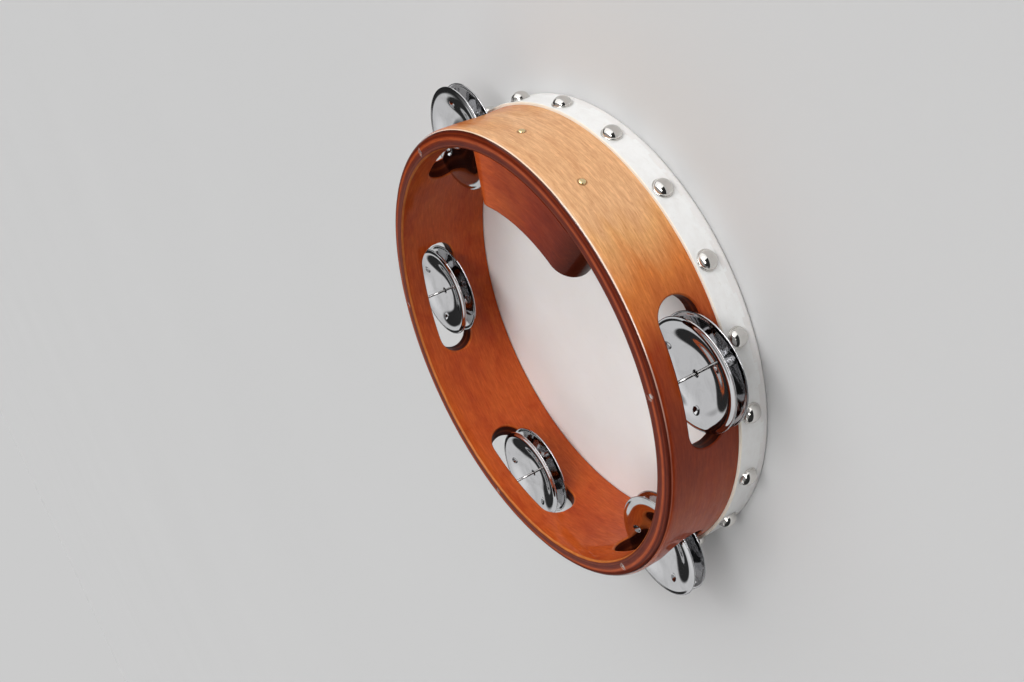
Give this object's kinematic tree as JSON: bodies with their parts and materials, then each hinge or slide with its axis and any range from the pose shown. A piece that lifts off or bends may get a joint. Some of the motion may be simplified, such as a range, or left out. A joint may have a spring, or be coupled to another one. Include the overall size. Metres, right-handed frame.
{
  "type": "tambourine",
  "caption": "Hand tambourine: bent wood hoop with a tacked white head on one side, facing metal jingle discs on pins in milled slots, and a wooden grip block inside.",
  "frame": {"origin": "centre of the head's outer face, on which the drum lies", "axes": "+Z along the drum's axis from the head to the open rim; -Y towards the hand's place, between the two outermost jingles"},
  "size_m": [0.1619, 0.1669, 0.035],
  "materials": {
    "lacquered_wood": "glossy orange-brown lacquer over fine grain",
    "head_skin": "smooth warm white membrane",
    "head_band": "smooth satin white strip",
    "nickel": "polished nickel",
    "chrome": "bright stamped steel, chromed",
    "pin_steel": "drawn steel wire",
    "brass": "plain brass"
  },
  "bodies": {
    "drum": {"hoop": "lacquered_wood", "grip_block": "lacquered_wood", "grip_nail_01": "brass", "grip_nail_02": "brass", "head": "head_skin", "head_band": "head_band", "tack_01": "nickel", "tack_02": "nickel", "tack_03": "nickel", "tack_04": "nickel", "tack_05": "nickel", "tack_06": "nickel", "tack_07": "nickel", "tack_08": "nickel", "tack_09": "nickel", "tack_10": "nickel", "tack_11": "nickel", "tack_12": "nickel", "tack_13": "nickel", "tack_14": "nickel", "tack_15": "nickel", "tack_16": "nickel", "tack_17": "nickel", "tack_18": "nickel", "tack_19": "nickel", "tack_20": "nickel", "tack_21": "nickel"},
    "pin_1": {"jingle_1_pin": "pin_steel"},
    "lower_disc_1": {"jingle_1_lower_disc": "chrome"},
    "upper_disc_1": {"jingle_1_upper_disc": "chrome"},
    "pin_2": {"jingle_2_pin": "pin_steel"},
    "lower_disc_2": {"jingle_2_lower_disc": "chrome"},
    "upper_disc_2": {"jingle_2_upper_disc": "chrome"},
    "pin_3": {"jingle_3_pin": "pin_steel"},
    "lower_disc_3": {"jingle_3_lower_disc": "chrome"},
    "upper_disc_3": {"jingle_3_upper_disc": "chrome"},
    "pin_4": {"jingle_4_pin": "pin_steel"},
    "lower_disc_4": {"jingle_4_lower_disc": "chrome"},
    "upper_disc_4": {"jingle_4_upper_disc": "chrome"},
    "pin_5": {"jingle_5_pin": "pin_steel"},
    "lower_disc_5": {"jingle_5_lower_disc": "chrome"},
    "upper_disc_5": {"jingle_5_upper_disc": "chrome"}
  },
  "joints": [
    {"name": "jingle_1_spin", "type": "hinge", "parent": "drum", "child": "pin_1", "pos_m": [0.05673, -0.04369, 0.02], "axis": [0, 0, 1], "continuous": true},
    {"name": "jingle_1_pair_slide", "type": "slide", "parent": "pin_1", "child": "lower_disc_1", "axis": [0, 0, 1], "range_m": [-0.0007, 0.0022]},
    {"name": "jingle_1_clap", "type": "slide", "parent": "lower_disc_1", "child": "upper_disc_1", "axis": [0, 0, 1], "range_m": [0, 0.0031]},
    {"name": "jingle_2_spin", "type": "hinge", "parent": "drum", "child": "pin_2", "pos_m": [0.06446, 0.03116, 0.02], "axis": [0, 0, 1], "continuous": true},
    {"name": "jingle_2_pair_slide", "type": "slide", "parent": "pin_2", "child": "lower_disc_2", "axis": [0, 0, 1], "range_m": [-0.0007, 0.0022]},
    {"name": "jingle_2_clap", "type": "slide", "parent": "lower_disc_2", "child": "upper_disc_2", "axis": [0, 0, 1], "range_m": [0, 0.0031]},
    {"name": "jingle_3_spin", "type": "hinge", "parent": "drum", "child": "pin_3", "pos_m": [0.001, 0.07159, 0.02], "axis": [0, 0, 1], "continuous": true},
    {"name": "jingle_3_pair_slide", "type": "slide", "parent": "pin_3", "child": "lower_disc_3", "axis": [0, 0, 1], "range_m": [-0.0007, 0.0022]},
    {"name": "jingle_3_clap", "type": "slide", "parent": "lower_disc_3", "child": "upper_disc_3", "axis": [0, 0, 1], "range_m": [0, 0.0031]},
    {"name": "jingle_4_spin", "type": "hinge", "parent": "drum", "child": "pin_4", "pos_m": [-0.06357, 0.03295, 0.02], "axis": [0, 0, 1], "continuous": true},
    {"name": "jingle_4_pair_slide", "type": "slide", "parent": "pin_4", "child": "lower_disc_4", "axis": [0, 0, 1], "range_m": [-0.0007, 0.0022]},
    {"name": "jingle_4_clap", "type": "slide", "parent": "lower_disc_4", "child": "upper_disc_4", "axis": [0, 0, 1], "range_m": [0, 0.0031]},
    {"name": "jingle_5_spin", "type": "hinge", "parent": "drum", "child": "pin_5", "pos_m": [-0.05793, -0.04208, 0.02], "axis": [0, 0, 1], "continuous": true},
    {"name": "jingle_5_pair_slide", "type": "slide", "parent": "pin_5", "child": "lower_disc_5", "axis": [0, 0, 1], "range_m": [-0.0007, 0.0022]},
    {"name": "jingle_5_clap", "type": "slide", "parent": "lower_disc_5", "child": "upper_disc_5", "axis": [0, 0, 1], "range_m": [0, 0.0031]}
  ]
}
